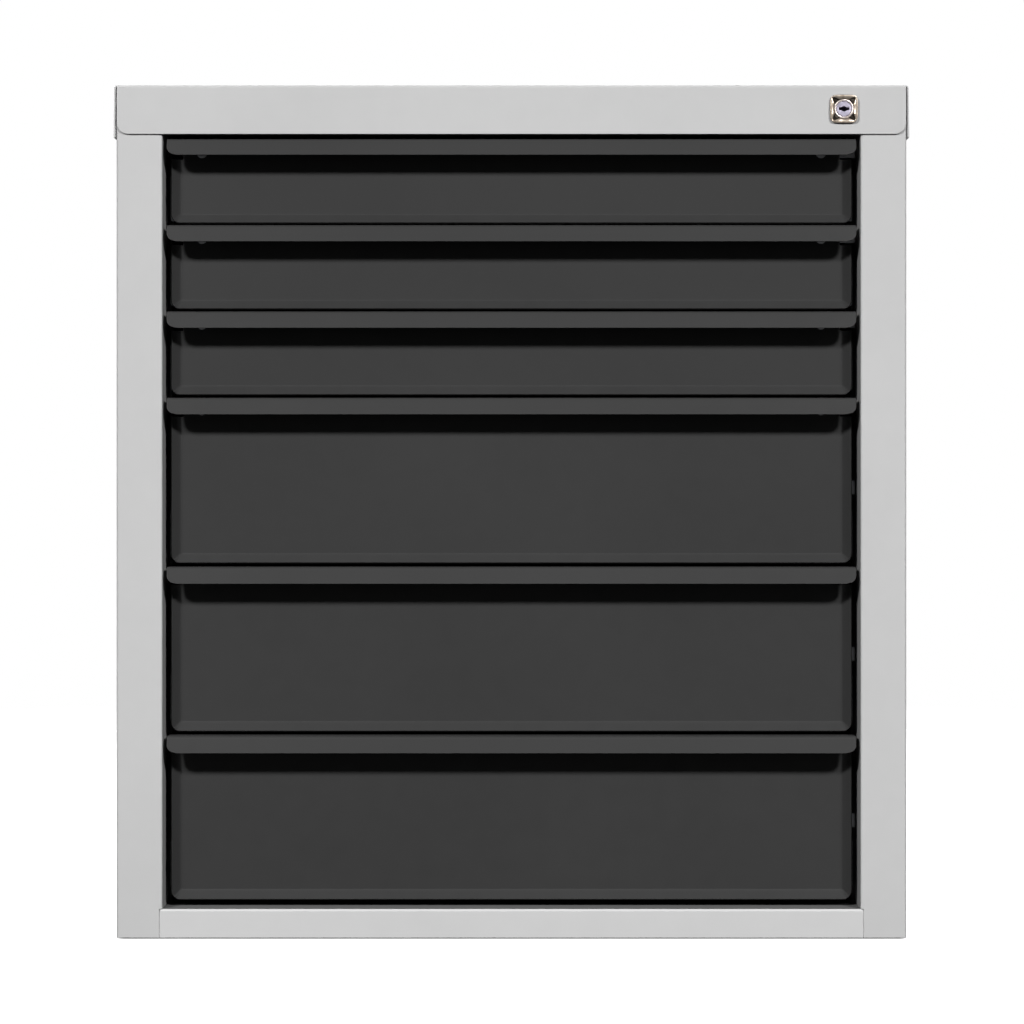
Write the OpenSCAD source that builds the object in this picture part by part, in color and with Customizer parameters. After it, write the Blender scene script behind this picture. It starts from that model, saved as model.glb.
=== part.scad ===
// Steel drawer cabinet: folded sheet casing, six drawers on telescopic slides, central lock.
// The front faces -Y, +Z is up, and the origin is the bottom centre of the whole cabinet.

/* [Casing] */
// Width across the outer faces of the side panels
body_w = 577; // [500:1:700]
// Depth from the front of the posts to the rear flanges
body_d = 550; // [540:1:650]
// Sheet thickness of the casing
casing_t = 1.2; // [1:0.1:1.5]
// Inside radius of every fold in the casing
casing_fold_r = 0.7; // [0.6:0.1:1.5]
// Width of each front post
post_w = 33.5; // [32:0.5:40]
// Depth of the post's face that returns beside the drawers
reveal_d = 35; // [34:0.5:36]
// Width of the flange that stiffens the rear edge of a post
post_return_w = 19; // [18.5:0.5:20]
// Width of the side panel's rear flange
rear_flange_w = 20; // [18:0.5:28]
// Width of the side panel's top and bottom flanges
end_flange_w = 15; // [14:0.5:20]

/* [Cover] */
// Height of the cover's folded edge
cover_edge_h = 35.7; // [33:0.1:45]
// Extra drop of the cover's side edges below its front edge
cover_side_drop = 2.4; // [0:0.1:3]
// How far the cover's side edges lean out at the bottom
cover_splay = 0.5; // [0:0.1:1]
// Corner radius of the cover's front and rear edges
cover_corner_r = 6; // [2:0.5:8]
// Air between the cover and the casing
cover_gap = 0.3; // [0.2:0.05:0.5]

/* [Rails and uprights] */
// Height of the rail below the drawers
base_rail_h = 21; // [16:0.5:40]
// Depth of the base rail's top face
base_rail_d = 31; // [24:0.5:33]
// How far the base rail is let into each post
base_rail_lap = 2.2; // [1:0.1:3]
// Depth of the top rail's flanges
top_rail_d = 15; // [10:0.5:20]
// Depth from the post front to the front upright
front_upright_y = 60; // [58:1:80]
// Depth from the post front to the rear upright
rear_upright_y = 458; // [420:1:470]
// Width of an upright's mounting face
upright_w = 28; // [20:1:32]
// Width of an upright's two welding lips
upright_lip_w = 8; // [6:0.5:9]

/* [Drawers] */
// Front height of a shallow drawer
shallow_h = 60.7; // [58:0.1:90]
// Front height of a deep drawer
deep_h = 121.3; // [80:0.1:160]
// Gap between two drawer fronts
front_gap = 2.5; // [2:0.5:5]
// Gap between the base rail and the lowest drawer front
bottom_gap = 4.7; // [3:0.1:10]
// Gap between the highest drawer front and the cover
top_gap = 2.6; // [2:0.1:8]
// Clearance at each end of a drawer's lip
lip_side_gap = 3; // [1.5:0.5:4]
// Clearance at each side of a drawer's front pan
pan_side_gap = 4.5; // [4:0.5:8]
// Sheet thickness of a drawer front
front_t = 1; // [0.8:0.1:1.2]
// Depth from the post front to the drawer's flat panel
panel_set_back = 21; // [20:0.5:22]
// Width and depth of the pan's slanted edges
pan_edge = 6.5; // [5:0.5:10]
// Corner radius at the foot of the pan
pan_corner_r = 6; // [3:0.5:8]
// Depth from the post front to the lip's top fold
lip_fold_y = 6; // [5:0.5:8]
// Depth from the post front to the lip's lower edge
lip_edge_y = 1; // [0.5:0.5:4]
// Height of the lip's face
lip_h = 12.3; // [10:0.1:16]
// Corner radius at the ends of the lip
lip_corner_r = 6.5; // [2:0.5:7]
// Inside radius of the drawer folds
front_fold_r = 1.5; // [1:0.1:2]
// Sheet thickness of a drawer box
box_t = 0.8; // [0.6:0.1:1]
// Length of a drawer box
box_l = 480; // [460:1:490]
// Height of the box floor above the front's lower edge
box_floor_z = 4; // [2:0.1:4.4]
// Drop from the front's upper edge to the box rim
box_rim_drop = 4; // [3:0.1:4.5]
// Width of the box's folded rims
box_rim_w = 8; // [6:0.5:10]

/* [Slides] */
// Thickness of a closed slide
slide_t = 12.7; // [12.7:0.1:14]
// Height of the slide's cabinet rail
slide_h = 35; // [33:0.5:36]
// Length of every slide rail
slide_l = 450; // [445:1:460]
// Depth from the post front to the slide
slide_y = 50; // [48:1:52]
// Sheet thickness of the slide rails
slide_sheet = 1.2; // [1:0.1:1.2]
// Distance from the end of a drawer's rail to its rivet
rivet_inset = 35; // [20:1:80]
// Running gap between two slide rails
slide_gap = 0.3; // [0.2:0.05:0.4]
// Width of the rails' retaining lips
slide_lip = 1.8; // [1.5:0.1:2]
// Height of the slide's centre line above the front's lower edge
slide_z = 22.5; // [22:0.1:23]

/* [Fasteners] */
// Shank radius of the screws and rivets
shank_r = 1.6; // [1.4:0.1:1.8]
// Head radius of the screws and rivets
head_r = 3.7; // [3.2:0.1:4]
// Head height of the screws and rivets
head_h = 1.4; // [1:0.1:1.4]
// Radial clearance of a screw or rivet in its hole
hole_gap = 0.1; // [0.05:0.01:0.15]
// Radius of the cover's weld studs
stud_r = 2.5; // [2:0.1:3]
// Length of the cover's weld studs
stud_l = 13; // [10:0.5:20]
// Width across the flats of a stud nut
stud_nut_af = 8; // [7.5:0.5:10]
// Height of a stud nut
stud_nut_h = 5; // [3:0.5:6]
// Distance from an upright to the weld stud beside it
stud_clear = 14; // [8:0.5:40]
// Number of rivets in each edge of the back panel
back_rivet_count = 5; // [2:1:8]

/* [Lock] */
// Distance from the lock's centre to the side panel's outer face
lock_inset = 46; // [45.5:0.5:48]
// Distance from the lock's centre to the top of the cover
lock_drop = 17.5; // [17:0.1:18]
// Side of the square bezel
bezel_w = 20.6; // [18:0.1:24]
// Thickness of the bezel
bezel_t = 2.2; // [1.5:0.1:3]
// Corner radius of the bezel
bezel_corner_r = 2; // [1:0.1:4]
// Depth of the bezel's dished face
bezel_dish = 0.8; // [0.3:0.1:1]
// Radius of the lock housing
housing_r = 7.2; // [6.6:0.1:8]
// Length of the lock housing
housing_l = 24; // [20:0.5:28]
// Radius of the lock plug
plug_r = 5.7; // [4.5:0.1:6]
// Running clearance around the lock plug
plug_gap = 0.05; // [0.02:0.01:0.1]
// Length of the key slot
key_slot_w = 7.3; // [5:0.1:8]
// Width of the key slot at its ends
key_slot_h = 2; // [1.6:0.1:2.6]
// Length and width of the eye in the middle of the key slot
key_slot_eye = 4.2; // [3.6:0.1:5]
// Radius of the plug's rear tail
tail_r = 3; // [2:0.1:3.5]
// Width across the flats of the lock nut
nut_af = 19; // [17:0.5:22]
// Height of the lock nut
nut_h = 5; // [3:0.5:6]
// Radius of the crank disc on the plug's tail
crank_r = 10; // [9.5:0.1:11]
// Thickness of the crank disc
crank_t = 2.4; // [2:0.1:2.6]
// Distance from the lock's centre to the crank pin
crank_throw = 7; // [6:0.1:7]
// Radius of the crank pin
crank_pin_r = 2; // [1.5:0.1:2.2]
// Turn of the key from unlocked to locked, in degrees
key_turn = 90; // [80:1:96]

/* [Locking bar] */
// Sheet thickness of the locking bar
bar_t = 2; // [1.5:0.1:2.2]
// Width of the bar's upright strip
bar_w = 14; // [13.6:0.1:14.4]
// Air between the post's inner face and the strip
bar_side_gap = 2.5; // [2:0.1:2.8]
// Air between the post's rear flange and the locking bar
bar_stand_off = 3; // [2.5:0.1:4]
// Height of each catch finger
finger_h = 10; // [8:0.1:10.5]
// Air between the finger and the slide below it when locked
finger_slide_gap = 1.1; // [0.6:0.1:1.3]
// Air between a finger and the drawer's catch when unlocked
finger_catch_gap = 1.3; // [1:0.1:2]
// Height of the catch on each drawer box
catch_h = 5; // [3:0.1:5.2]
// Reach of the catch beyond the drawer box
catch_w = 7.7; // [5:0.1:9]
// Air between the locking bar and the drawers' catches
bar_catch_gap = 2; // [1:0.1:3]
// Air between the finger's tip and the drawer box
finger_tip_gap = 2.2; // [1.5:0.1:3]
// Radius of the guide stud's shank
guide_r = 3; // [2.5:0.1:3.1]
// Radius of the guide stud's head
guide_head_r = 5.2; // [4.5:0.1:5.4]
// Height of the guide stud's head
guide_head_h = 2; // [1.5:0.1:2.4]
// Clearance of a pin or stud in the bar's slots
slot_gap = 0.4; // [0.35:0.05:0.5]
// Clearance on each face of the locking bar
bar_face_gap = 0.3; // [0.2:0.05:0.4]
// Drop from a finger's centre to the guide stud below it
guide_drop = 20; // [19:0.5:24]

/* [Hidden] */
$fn = 64;
// Overlap that joins two shapes of one piece, and overshoot of a cut
sliver = 0.01;
cut = 1;
drawer_count = 6;
front_heights = [shallow_h, shallow_h, shallow_h, deep_h, deep_h, deep_h];
drawer_ids = [for (i = [0:drawer_count - 1]) i];
guide_drawers = [0, 3, 5];
drawer_parts = ["front", "box", "inner_rails", "rivets", "middle_rails", "cabinet_rails"];

// Heights, from the floor up
function sum_to(list, from) = from >= len(list) ? 0 : list[from] + sum_to(list, from + 1);
fronts_h = sum_to(front_heights, 0) + (drawer_count - 1) * front_gap;
opening_top_z = base_rail_h + bottom_gap + fronts_h + top_gap;
body_h = opening_top_z + cover_edge_h;
cover_under_z = body_h - casing_t;
panel_top_z = cover_under_z - cover_gap;
function front_z(i) = base_rail_h + bottom_gap + sum_to(front_heights, i + 1)
    + (drawer_count - 1 - i) * front_gap;

// Widths
half_w = body_w / 2;
side_inner_x = half_w - casing_t;
half_opening = half_w - post_w;
half_box = half_opening - slide_t;
half_pan = half_opening - pan_side_gap;
half_lip = half_opening - lip_side_gap;
cover_half_w = half_w + cover_gap + casing_t;

// Depths: y_at(d) is the plane at a depth d behind the front of the posts
cover_proud = cover_gap + casing_t;
total_d = bezel_t + cover_proud + body_d + cover_proud;
function y_at(depth) = depth + bezel_t + cover_proud - total_d / 2;
cover_front_y = y_at(-cover_proud);
cover_rear_y = y_at(body_d + cover_proud);
back_t = 1;
back_panel_y = body_d - casing_t - back_t;

// Folding: a path follows the middle of the sheet
casing_r = casing_fold_r + casing_t / 2;
front_r = front_fold_r + front_t / 2;
box_r = 1.5 * box_t;
casing_mid = casing_t / 2;

// Lock and locking bar
lock_x = half_w - lock_inset;
lock_z = body_h - lock_drop;
bar_stroke = 2 * crank_throw * sin(key_turn / 2);
bar_y = reveal_d + bar_stand_off;
catch_y = bar_y + bar_t + bar_catch_gap;
rail_web_z = slide_z + slide_h / 2;
finger_locked_z = rail_web_z + finger_slide_gap;
finger_rest_z = finger_locked_z + bar_stroke;
catch_top_z = finger_rest_z - finger_catch_gap;
bar_inner_x = half_opening + bar_side_gap;
bar_mid_x = bar_inner_x + bar_w / 2;
finger_tip_x = half_box + finger_tip_gap;
bar_foot_clear = 16;
bar_head_h = 17;
bar_head_rim = 2.5;
pin_proud = 1;
crank_y = bar_y - bar_face_gap - crank_t - head_h;
pin_end_y = bar_y + bar_t + pin_proud;
pin_rest_dx = crank_throw * cos(key_turn / 2);
pin_rest_dz = crank_throw * sin(key_turn / 2);
function guide_z(i) = front_z(i) + finger_rest_z + finger_h / 2 - guide_drop;

// Colours
light_grey = "#c9cacb";
anthracite = "#3f4143";
bare_zinc = "#b4b8bc";
nickel = "#d2cec6";

// A strip of sheet of thickness t along the path through its middle, each corner bent to radius r
function heading(a, b) = atan2(b[1] - a[1], b[0] - a[0]);
function turn(a, b, c) = let (d = heading(b, c) - heading(a, b))
    d > 180 ? d - 360 : d < -180 ? d + 360 : d;
function setback(path, i, r) = i <= 0 || i >= len(path) - 1 ? 0
    : r * tan(abs(turn(path[i - 1], path[i], path[i + 1])) / 2);

module bend(angle_in, angle_turn, t, r) {
    side = sign(angle_turn);
    reach = (r + t) / cos(angle_turn / 4);
    ray = [0, angle_turn / 2, angle_turn];
    rotate(angle_in)
        translate([0, side * r])
            intersection() {
                difference() {
                    circle(r + t / 2);
                    circle(r - t / 2);
                }
                polygon(concat(
                    [[0, 0]],
                    [for (a = ray) reach * [sin(a) * side, -cos(a) * side]]
                ));
            }
}

// Square folds, with true arcs
module folded_strip(path, t, r) {
    for (i = [0:len(path) - 2]) {
        from = setback(path, i, r);
        to = norm(path[i + 1] - path[i]) - setback(path, i + 1, r);
        translate(path[i])
            rotate(heading(path[i], path[i + 1]))
                translate([from, -t / 2])
                    square([to - from, t]);
    }
    for (i = [1:1:len(path) - 2]) {
        angle_in = heading(path[i - 1], path[i]);
        angle_turn = turn(path[i - 1], path[i], path[i + 1]);
        back = setback(path, i, r);
        translate(path[i] - back * [cos(angle_in), sin(angle_in)])
            bend(angle_in, angle_turn, t, r);
    }
}

// Slanting folds, as one outline: the sheet's left face there, its right face back again
fold_steps = 6;

function fold_arc(path, i, side_offset, r) = let (
        angle_in = heading(path[i - 1], path[i]),
        angle_turn = turn(path[i - 1], path[i], path[i + 1]),
        side = sign(angle_turn),
        along = [cos(angle_in), sin(angle_in)],
        across = [-sin(angle_in), cos(angle_in)],
        centre = path[i] - setback(path, i, r) * along + side * r * across,
        reach = r - side * side_offset
    ) [
        for (k = [0:fold_steps])
            let (a = angle_turn * k / fold_steps)
                centre + reach * side * (sin(a) * along - cos(a) * across)
    ];

function end_point(path, from, to, side_offset) = let (
        angle = heading(path[from], path[to])
    ) [-sin(angle), cos(angle)] * side_offset;

function strip_face(path, side_offset, r) = let (last = len(path) - 1) concat(
    [path[0] + end_point(path, 0, 1, side_offset)],
    [for (i = [1:1:last - 1]) each fold_arc(path, i, side_offset, r)],
    [path[last] + end_point(path, last - 1, last, side_offset)]
);

function reversed(list) = [for (i = [len(list) - 1:-1:0]) list[i]];

module slanted_strip(path, t, r) {
    polygon(concat(
        strip_face(path, t / 2, r),
        reversed(strip_face(path, -t / 2, r))
    ));
}

// A profile drawn in (Y, Z) and carried along X, or drawn in (X, Z) and carried along Y
module along_x(from, to) {
    translate([from, 0, 0])
        rotate([90, 0, 90])
            linear_extrude(to - from)
                children();
}

module along_y(from, to) {
    translate([0, to, 0])
        rotate([90, 0, 0])
            linear_extrude(to - from)
                children();
}

module rod_x(from, to, r) {
    translate([from, 0, 0])
        rotate([0, 90, 0])
            cylinder(r = r, h = to - from);
}

module rod_y(from, to, r) {
    translate([0, from, 0])
        rotate([-90, 0, 0])
            cylinder(r = r, h = to - from);
}

module plate(x, y, z) {
    translate([x[0], y[0], z[0]])
        cube([x[1] - x[0], y[1] - y[0], z[1] - z[0]]);
}

module both_sides() {
    children();
    mirror([1, 0, 0])
        children();
}

// What a rounded corner removes from a sheet whose corner lies at the origin, towards +X and +Z
module corner_waste(r) {
    difference() {
        square(r + cut);
        circle(r);
    }
}

// ---- Casing ----

module side_profile() {
    rear_y = y_at(body_d) - casing_mid;
    outer_x = half_w - casing_mid;
    reveal_x = half_opening + casing_mid;
    return_y = y_at(reveal_d) - casing_mid;
    folded_strip([
        [half_w - rear_flange_w, rear_y],
        [outer_x, rear_y],
        [outer_x, y_at(0) + casing_mid],
        [reveal_x, y_at(0) + casing_mid],
        [reveal_x, return_y],
        [half_opening + post_return_w, return_y]
    ], casing_t, casing_r);
}

end_flange_x = [side_inner_x - end_flange_w, half_w - casing_mid];
end_flange_notch = 5;
end_flange_y = [
    y_at(reveal_d + end_flange_notch),
    y_at(body_d - rear_flange_w - end_flange_notch)
];
stud_x = side_inner_x - end_flange_w / 2;
stud_y = [
    y_at(front_upright_y + upright_w + upright_lip_w + stud_clear),
    y_at(rear_upright_y - upright_lip_w - stud_clear)
];
back_rivet_x = half_w - rear_flange_w / 2;
back_rivet_first_z = 60;
back_rivet_pitch = (body_h - 2 * back_rivet_first_z) / (back_rivet_count - 1);

module back_rivet_places() {
    for (x = [-back_rivet_x, back_rivet_x], i = [0:back_rivet_count - 1])
        translate([x, 0, back_rivet_first_z + i * back_rivet_pitch])
            children();
}

module guide_places() {
    for (i = guide_drawers)
        translate([bar_mid_x, 0, guide_z(i)])
            children();
}

guide_shoulder = 0.5;
guide_tail_r = guide_r - guide_shoulder;
guide_tail_gap = 0.05;

module side_panel() {
    difference() {
        union() {
            linear_extrude(panel_top_z)
                side_profile();
            plate(end_flange_x, end_flange_y, [panel_top_z - casing_t, panel_top_z]);
            plate(end_flange_x, end_flange_y, [casing_t, 2 * casing_t]);
        }
        plate(
            [half_opening - cut, half_opening + base_rail_lap],
            [y_at(-cut), y_at(reveal_d + cut)],
            [-cut, base_rail_h]
        );
        for (sy = stud_y)
            translate([stud_x, sy, panel_top_z - casing_t - cut])
                cylinder(r = stud_r + hole_gap, h = casing_t + 2 * cut);
        back_rivet_places()
            rod_y(y_at(body_d - casing_t - cut), y_at(body_d + cut), shank_r + hole_gap);
    }
}

module right_side_panel() {
    color(light_grey)
        difference() {
            side_panel();
            guide_places()
                rod_y(
                    y_at(reveal_d - casing_t - cut),
                    y_at(reveal_d + cut),
                    guide_tail_r + guide_tail_gap
                );
        }
}

module left_side_panel() {
    color(light_grey)
        mirror([1, 0, 0])
            side_panel();
}

module top_cover() {
    top_mid_z = body_h - casing_mid;
    side_x = cover_half_w - casing_mid;
    side_low_z = opening_top_z - cover_side_drop;
    edge_front = cover_front_y + casing_mid;
    edge_rear = cover_rear_y - casing_mid;
    relief = casing_r + casing_mid;
    color(light_grey)
        difference() {
            union() {
                along_y(cover_front_y + relief, cover_rear_y - relief)
                    slanted_strip([
                        [-side_x - cover_splay, side_low_z],
                        [-side_x, top_mid_z],
                        [side_x, top_mid_z],
                        [side_x + cover_splay, side_low_z]
                    ], casing_t, casing_r);
                along_x(-half_w, half_w)
                    folded_strip([
                        [edge_front, opening_top_z],
                        [edge_front, top_mid_z],
                        [edge_rear, top_mid_z],
                        [edge_rear, opening_top_z]
                    ], casing_t, casing_r);
                for (x = [-stud_x, stud_x], sy = stud_y)
                    translate([x, sy, cover_under_z - stud_l])
                        cylinder(r = stud_r, h = stud_l + casing_mid);
            }
            both_sides()
                translate([half_w - cover_corner_r, 0, opening_top_z + cover_corner_r])
                    mirror([0, 0, 1])
                        for (at = [cover_front_y, cover_rear_y - casing_t])
                            along_y(at - cut, at + casing_t + cut)
                                corner_waste(cover_corner_r);
            translate([lock_x, 0, lock_z])
                rod_y(cover_front_y - cut, cover_front_y + casing_t + cut, housing_r + hole_gap);
        }
}

// The back panel ends where the rear folds begin
module back_panel() {
    half_panel = side_inner_x - casing_fold_r - cover_gap;
    color(light_grey)
        difference() {
            plate(
                [-half_panel, half_panel],
                [y_at(back_panel_y), y_at(body_d - casing_t)],
                [casing_t, panel_top_z]
            );
            back_rivet_places()
                rod_y(y_at(back_panel_y - cut), y_at(body_d), shank_r + hole_gap);
        }
}

bottom_flange_h = 20;
bottom_flange_gap = 2;

module bottom_panel() {
    front_y = y_at(casing_t);
    tongue_y = y_at(reveal_d + casing_t);
    rear_y = y_at(back_panel_y);
    tongue_x = half_opening - cover_gap;
    half_panel = side_inner_x - cover_gap;
    color(light_grey)
        union() {
            linear_extrude(casing_t)
                polygon([
                    [-tongue_x, front_y], [tongue_x, front_y],
                    [tongue_x, tongue_y], [half_panel, tongue_y],
                    [half_panel, rear_y], [-half_panel, rear_y],
                    [-half_panel, tongue_y], [-tongue_x, tongue_y]
                ]);
            plate(
                [
                    -side_inner_x + end_flange_w + bottom_flange_gap,
                    side_inner_x - end_flange_w - bottom_flange_gap
                ],
                [rear_y - casing_t, rear_y],
                [0, bottom_flange_h]
            );
        }
}

module base_rail() {
    half_rail = half_opening + base_rail_lap;
    color(light_grey)
        difference() {
            along_x(-half_rail, half_rail)
                folded_strip([
                    [y_at(casing_mid), 0],
                    [y_at(casing_mid), base_rail_h - casing_mid],
                    [y_at(base_rail_d - casing_mid), base_rail_h - casing_mid],
                    [y_at(base_rail_d - casing_mid), casing_t]
                ], casing_t, casing_r);
            both_sides()
                translate([half_rail - casing_r, 0, base_rail_h - casing_r])
                    along_y(y_at(-cut), y_at(casing_t + cut))
                        corner_waste(casing_r);
        }
}

module top_rail() {
    web_y = y_at(casing_mid);
    color(light_grey)
        difference() {
            along_x(-half_opening, half_opening)
                folded_strip([
                    [y_at(top_rail_d), opening_top_z + casing_t],
                    [web_y, opening_top_z + casing_t],
                    [web_y, cover_under_z - casing_mid],
                    [y_at(top_rail_d), cover_under_z - casing_mid]
                ], casing_t, casing_r);
            translate([lock_x, 0, lock_z])
                rod_y(y_at(-cut), y_at(casing_t + cut), housing_r + hole_gap);
        }
}

// A hat-shaped upright: its face lies in line with the post, its lips on the side panel
module upright(depth) {
    lip_x = side_inner_x - casing_mid;
    face_x = half_opening + casing_mid;
    low_y = y_at(depth) + casing_mid;
    high_y = y_at(depth + upright_w) - casing_mid;
    foot_gap = 0.2;
    difference() {
        translate([0, 0, 2 * casing_t + foot_gap])
            linear_extrude(panel_top_z - 3 * casing_t - 2 * foot_gap)
                folded_strip([
                    [lip_x, low_y - upright_lip_w],
                    [lip_x, low_y],
                    [face_x, low_y],
                    [face_x, high_y],
                    [lip_x, high_y],
                    [lip_x, high_y + upright_lip_w]
                ], casing_t, casing_r);
        for (i = drawer_ids)
            translate([0, y_at(depth + upright_w / 2), front_z(i) + slide_z])
                rod_x(half_opening - cut, half_opening + casing_t + cut, shank_r + hole_gap);
    }
}

module right_front_upright() {
    color(light_grey) upright(front_upright_y);
}

module right_rear_upright() {
    color(light_grey) upright(rear_upright_y);
}

module left_front_upright() {
    color(light_grey) mirror([1, 0, 0]) upright(front_upright_y);
}

module left_rear_upright() {
    color(light_grey) mirror([1, 0, 0]) upright(rear_upright_y);
}

// ---- Fasteners of the casing ----

screw_tail = 4;
tail_head_r = shank_r + 1;

module rail_screws() {
    color(bare_zinc)
        both_sides()
            for (i = drawer_ids, depth = [front_upright_y, rear_upright_y])
                translate([half_opening, y_at(depth + upright_w / 2), front_z(i) + slide_z]) {
                    rod_x(-slide_sheet - head_h, -slide_sheet, head_r);
                    rod_x(-slide_sheet - sliver, casing_t + screw_tail, shank_r);
                }
}

module back_rivets() {
    color(bare_zinc)
        back_rivet_places() {
            rod_y(y_at(body_d), y_at(body_d + head_h), head_r);
            rod_y(y_at(back_panel_y - sliver), y_at(body_d + sliver), shank_r);
            rod_y(y_at(back_panel_y - head_h), y_at(back_panel_y), tail_head_r);
        }
}

module hex_nut(af, h, bore_r) {
    difference() {
        cylinder(r = af / sqrt(3), h = h, $fn = 6);
        translate([0, 0, -cut])
            cylinder(r = bore_r, h = h + 2 * cut);
    }
}

module cover_nuts() {
    color(bare_zinc)
        for (x = [-stud_x, stud_x], sy = stud_y)
            translate([x, sy, panel_top_z - casing_t - stud_nut_h])
                hex_nut(stud_nut_af, stud_nut_h, stud_r + plug_gap);
}

// ---- Lock ----

dish_r = (pow(bezel_w / 2, 2) + pow(bezel_dish, 2)) / (2 * bezel_dish);
bezel_rim = 1.2;

module lock_bezel() {
    half_flat = bezel_w / 2 - bezel_corner_r;
    front_y = cover_front_y - bezel_t;
    color(nickel)
        translate([lock_x, 0, lock_z])
            difference() {
                along_y(front_y, cover_front_y)
                    union() {
                        square([bezel_w, 2 * half_flat], center = true);
                        square([2 * half_flat, bezel_w], center = true);
                        for (sx = [-1, 1], sz = [-1, 1])
                            translate([sx * half_flat, sz * half_flat])
                                circle(bezel_corner_r);
                    }
                intersection() {
                    translate([0, front_y + bezel_dish - dish_r, 0])
                        sphere(dish_r, $fn = 256);
                    along_y(front_y - cut, cover_front_y)
                        square(bezel_w - 2 * bezel_rim, center = true);
                }
                rod_y(front_y - cut, cover_front_y + cut, housing_r + hole_gap);
            }
}

module lock_housing() {
    front_y = cover_front_y - bezel_t + bezel_dish;
    color(nickel)
        translate([lock_x, 0, lock_z])
            difference() {
                rod_y(front_y, y_at(housing_l), housing_r);
                rod_y(front_y - cut, y_at(housing_l) + cut, plug_r + plug_gap);
            }
}

module lock_nut() {
    color(bare_zinc)
        translate([lock_x, y_at(casing_t), lock_z])
            rotate([-90, 0, 0])
                hex_nut(nut_af, nut_h, housing_r + plug_gap);
}

// The key slot: a straight slot with a wider eye in its middle
module key_slot() {
    square([key_slot_w, key_slot_h], center = true);
    rotate(45)
        square(key_slot_eye / sqrt(2), center = true);
}

plug_set_back = 0.2;
plug_front_y = cover_front_y - bezel_t + bezel_dish + plug_set_back;
key_slot_depth = 18;
plug_end_gap = 0.3;

module lock_plug() {
    color(nickel)
        translate([lock_x, 0, lock_z])
            difference() {
                union() {
                    rod_y(plug_front_y, y_at(housing_l + plug_end_gap), plug_r);
                    rod_y(y_at(housing_l), y_at(crank_y + crank_t), tail_r);
                }
                along_y(plug_front_y - cut, plug_front_y + key_slot_depth)
                    key_slot();
            }
}

module lock_crank() {
    color(bare_zinc)
        translate([lock_x, 0, lock_z]) {
            difference() {
                rod_y(y_at(crank_y), y_at(crank_y + crank_t), crank_r);
                rod_y(y_at(crank_y - cut), y_at(crank_y + crank_t + cut), tail_r + plug_gap);
            }
            translate([pin_rest_dx, 0, pin_rest_dz])
                rod_y(y_at(crank_y + crank_t - sliver), y_at(pin_end_y), crank_pin_r);
        }
}

crank_screw_r = tail_r + 0.6;

module crank_screw() {
    color(bare_zinc)
        translate([lock_x, 0, lock_z])
            rod_y(y_at(crank_y + crank_t), y_at(crank_y + crank_t + head_h), crank_screw_r);
}

// ---- Locking bar: a flat strip, with its head and a finger for each drawer welded on ----

// Air in a welded seam, which leaves each welded piece a solid of its own
weld_gap = 0.02;

module upright_slot(x, z, half_width, rise) {
    translate([x, z])
        union() {
            circle(half_width);
            translate([0, rise])
                circle(half_width);
            translate([-half_width, 0])
                square([2 * half_width, rise]);
        }
}

module crank_slot() {
    half_height = crank_pin_r + slot_gap;
    from_x = lock_x + pin_rest_dx;
    to_x = lock_x + crank_throw;
    translate([from_x, lock_z + pin_rest_dz])
        union() {
            circle(half_height);
            translate([to_x - from_x, 0])
                circle(half_height);
            translate([0, -half_height])
                square([to_x - from_x, 2 * half_height]);
        }
}

module locking_bar() {
    head_low_z = lock_z + pin_rest_dz - bar_head_h / 2;
    head_x = lock_x + pin_rest_dx - crank_pin_r - slot_gap - bar_head_rim;
    foot_z = guide_z(drawer_count - 1) - bar_foot_clear;
    seam_x = bar_inner_x - weld_gap;
    color(bare_zinc)
        along_y(y_at(bar_y), y_at(bar_y + bar_t)) {
            difference() {
                translate([bar_inner_x, foot_z])
                    square([bar_w, head_low_z + bar_head_h - foot_z]);
                for (i = guide_drawers)
                    upright_slot(bar_mid_x, guide_z(i), guide_r + slot_gap, bar_stroke);
            }
            difference() {
                translate([head_x, head_low_z])
                    square([seam_x - head_x, bar_head_h]);
                crank_slot();
            }
            for (i = drawer_ids)
                translate([finger_tip_x, front_z(i) + finger_rest_z])
                    square([seam_x - finger_tip_x, finger_h]);
        }
}

module bar_guide_studs() {
    collar_end_y = bar_y - bar_face_gap;
    head_y = bar_y + bar_t + bar_face_gap;
    peen_r = 4;
    collar_r = guide_r + 2;
    color(bare_zinc)
        guide_places() {
            rod_y(y_at(reveal_d - casing_t - head_h), y_at(reveal_d - casing_t), peen_r);
            rod_y(y_at(reveal_d - casing_t - sliver), y_at(reveal_d + sliver), guide_tail_r);
            rod_y(y_at(reveal_d), y_at(collar_end_y), collar_r);
            rod_y(y_at(collar_end_y - sliver), y_at(head_y + sliver), guide_r);
            rod_y(y_at(head_y), y_at(head_y + guide_head_h), guide_head_r);
        }
}

// ---- Drawers ----

// Drawers are built for i = 0 at the top; every height starts at the front's lower edge
panel_y = y_at(panel_set_back);
panel_mid_y = panel_y + front_t / 2;
panel_back_y = panel_y + front_t;
half_flat = half_pan - pan_edge;
lip_tip_drop = 0.2 * front_t;
front_rivet_inset = 14;
front_rivet_x = half_box - front_rivet_inset;
front_rivet_drop = 8.5;
seam = 2;

// The lip: forward from the top of the panel, then down and a little further forward
module lip_profile(top_z) {
    mid_z = top_z - front_t / 2;
    slanted_strip([
        [panel_mid_y, mid_z - lip_h],
        [panel_mid_y, mid_z],
        [y_at(lip_fold_y), mid_z],
        [y_at(lip_edge_y), top_z - lip_h]
    ], front_t, front_r);
}

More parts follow.
